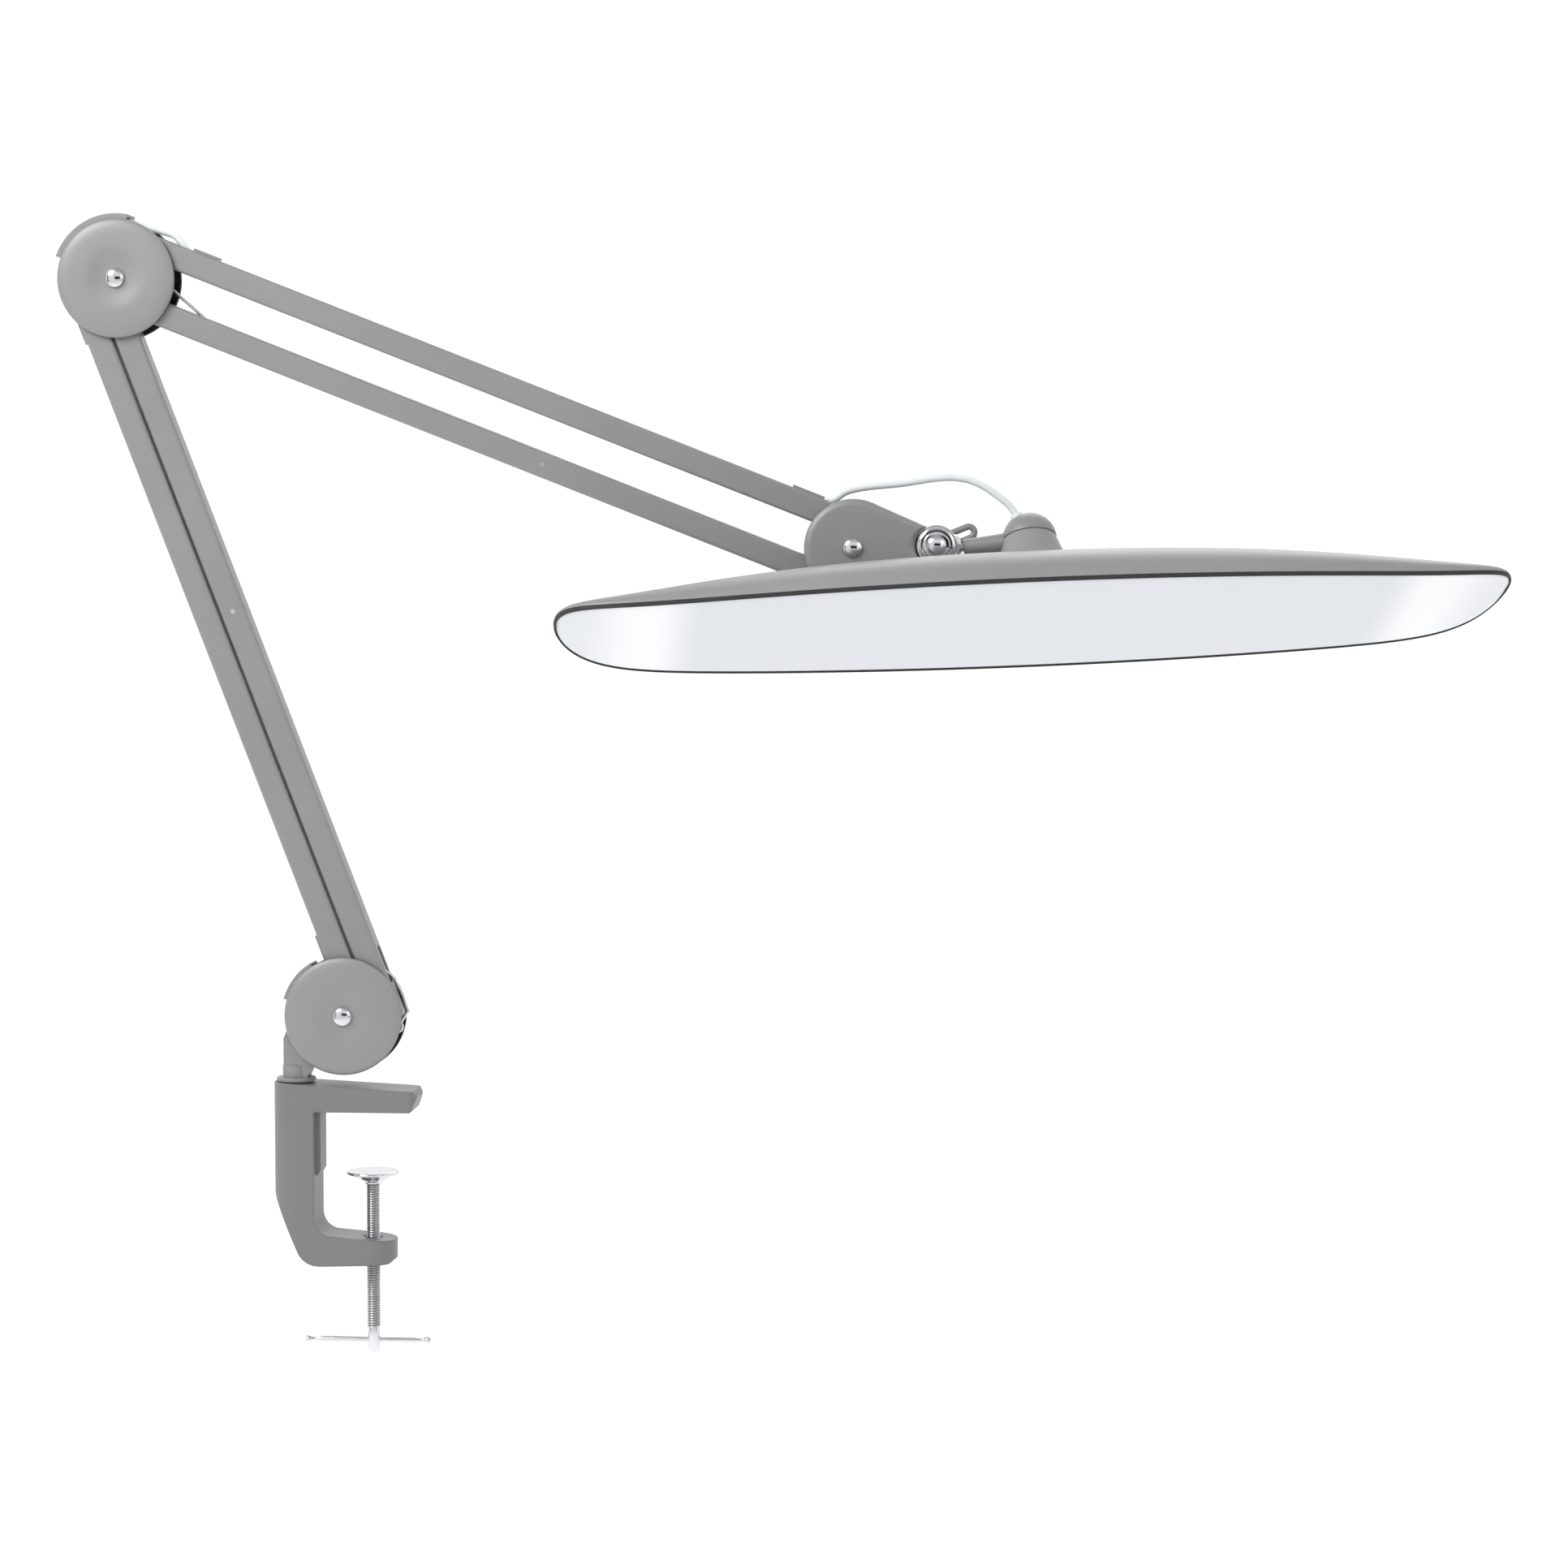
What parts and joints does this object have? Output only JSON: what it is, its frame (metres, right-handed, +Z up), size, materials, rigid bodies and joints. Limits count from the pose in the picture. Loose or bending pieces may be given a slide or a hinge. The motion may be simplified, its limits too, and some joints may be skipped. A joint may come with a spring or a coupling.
{
  "type": "swing arm desk lamp",
  "caption": "Clamp-on desk lamp with two sprung parallel arms, round pivot covers and a long slim light head on a tilting, rolling and swivelling stem.",
  "frame": {"origin": "on the underside of the clamp's upper jaw, straight above the clamp screw", "axes": "+X right along the arms, +Y to the back, +Z up; the arms stand in the plane Y = 0"},
  "size_m": [0.7444, 0.1411, 0.5897],
  "materials": {
    "paint": "satin",
    "shade": "satin",
    "tube": "satin",
    "cast": "satin",
    "steel": "satin",
    "dark": "satin",
    "chrome": "polished",
    "nylon": "satin",
    "milk": "satin",
    "cable": "satin",
    "gasket": "matte",
    "black": "satin"
  },
  "bodies": {
    "clamp": {"clamp_frame": "cast", "post_bush": "nylon"},
    "pad": {"pressure_pad": "chrome"},
    "screw": {"clamp_screw": "chrome"},
    "handle": {"turning_bar": "chrome"},
    "post": {"post_spindle": "steel", "post_flange": "paint", "base_bracket": "paint", "base_plates": "dark", "base_cover_near": "paint", "base_cover_far": "paint", "base_bolt": "chrome", "base_nut": "chrome", "base_pins": "steel", "base_guard": "paint", "base_spring_stud": "steel"},
    "lower_rear": {"lower_rear_tube": "tube", "lower_rear_bushes": "nylon", "lower_lead": "cable", "base_clip": "steel", "elbow_lower_clip": "steel"},
    "lower_front": {"lower_front_tube": "tube", "lower_front_bushes": "nylon", "lower_spring": "steel", "lower_spring_pin": "steel"},
    "elbow": {"elbow_plates": "dark", "elbow_cover_near": "paint", "elbow_cover_far": "paint", "elbow_bolt": "chrome", "elbow_nut": "chrome", "elbow_spacer": "dark", "elbow_pins": "steel", "elbow_guard": "paint", "elbow_spring_stud": "steel", "elbow_lead": "cable"},
    "upper_top": {"upper_top_tube": "tube", "upper_top_bushes": "nylon", "upper_lead": "cable", "elbow_upper_clip": "steel", "end_clip": "steel"},
    "upper_bottom": {"upper_bottom_tube": "tube", "upper_bottom_bushes": "nylon", "upper_spring": "steel", "upper_spring_pin": "steel"},
    "end": {"end_tongue": "dark", "end_covers": "paint", "end_bolt": "chrome", "end_pins": "steel"},
    "yoke": {"tilt_yoke": "chrome", "tilt_bolt": "chrome"},
    "wing": {"tilt_wing": "paint"},
    "stem": {"stem_dome": "cast", "roll_pin": "steel", "head_lead": "cable"},
    "head": {"shade_shell": "shade", "rim_gasket": "gasket", "diffuser": "milk", "led_tray": "nylon", "swivel_pin": "steel"},
    "button": {"dimmer_button": "black"}
  },
  "joints": [
    {"name": "clamp_travel", "type": "slide", "parent": "clamp", "child": "pad", "axis": [0, 0, 1], "range_m": [-0.026, 0.029]},
    {"name": "screw_turn", "type": "hinge", "parent": "pad", "child": "screw", "pos_m": [0, 0, -0.127], "axis": [0, 0, 1], "range_deg": [-7500, 8400]},
    {"name": "bar_slide", "type": "slide", "parent": "screw", "child": "handle", "axis": [1, 0, 0], "range_m": [-0.019, 0.025]},
    {"name": "post_swivel", "type": "hinge", "parent": "clamp", "child": "post", "pos_m": [-0.0399, 0, 0.015], "axis": [0, 0, 1], "continuous": true},
    {"name": "lower_arm", "type": "hinge", "parent": "post", "child": "lower_rear", "pos_m": [-0.0131, 0, 0.07105], "axis": [0, 1, 0], "range_deg": [-2, 90], "deforming": ["lower_spring"]},
    {"name": "lower_front_arm", "type": "hinge", "parent": "post", "child": "lower_front", "pos_m": [0.00957, 0, 0.05134], "axis": [0, 1, 0], "range_deg": [-2, 90]},
    {"name": "elbow_level", "type": "hinge", "parent": "lower_rear", "child": "elbow", "pos_m": [-0.14928, 0, 0.42581], "axis": [0, 1, 0], "range_deg": [-90, 2], "deforming": ["elbow_lead"]},
    {"name": "upper_arm", "type": "hinge", "parent": "elbow", "child": "upper_top", "pos_m": [-0.10802, 0, 0.44413], "axis": [0, 1, 0], "range_deg": [-45, 30], "deforming": ["upper_spring"]},
    {"name": "upper_bottom_arm", "type": "hinge", "parent": "elbow", "child": "upper_bottom", "pos_m": [-0.11579, 0, 0.41512], "axis": [0, 1, 0], "range_deg": [-45, 30]},
    {"name": "head_level", "type": "hinge", "parent": "upper_top", "child": "end", "pos_m": [0.24554, 0, 0.30486], "axis": [0, 1, 0], "range_deg": [-30, 45]},
    {"name": "head_tilt", "type": "hinge", "parent": "end", "child": "yoke", "pos_m": [0.29267, 0, 0.29227], "axis": [0, 1, 0], "range_deg": [-50, 0], "deforming": ["head_lead"]},
    {"name": "wing_turn", "type": "hinge", "parent": "yoke", "child": "wing", "pos_m": [0.29267, 0, 0.29227], "axis": [0, 1, 0], "range_deg": [-30, 90]},
    {"name": "head_roll", "type": "hinge", "parent": "yoke", "child": "stem", "pos_m": [0.30517, 0, 0.29127], "axis": [0.993, 0, 0.1184], "range_deg": [-45, 6]},
    {"name": "head_swivel", "type": "hinge", "parent": "stem", "child": "head", "pos_m": [0.33973, 0, 0.29539], "axis": [-0.1077, 0.4147, 0.9036], "range_deg": [-60, 90]},
    {"name": "dimmer_press", "type": "slide", "parent": "head", "child": "button", "axis": [-0.1077, 0.4147, 0.9036], "range_m": [-0.0015, 0], "stiffness_N_per_m": 300, "springref_m": 0.001}
  ],
  "couplings": [
    {"joint": "screw_turn", "follows": "clamp_travel", "rad_per_m": 5026.6},
    {"joint": "lower_front_arm", "follows": "lower_arm", "ratio": 1},
    {"joint": "elbow_level", "follows": "lower_arm", "ratio": -1},
    {"joint": "upper_bottom_arm", "follows": "upper_arm", "ratio": 1},
    {"joint": "head_level", "follows": "upper_arm", "ratio": -1}
  ]
}
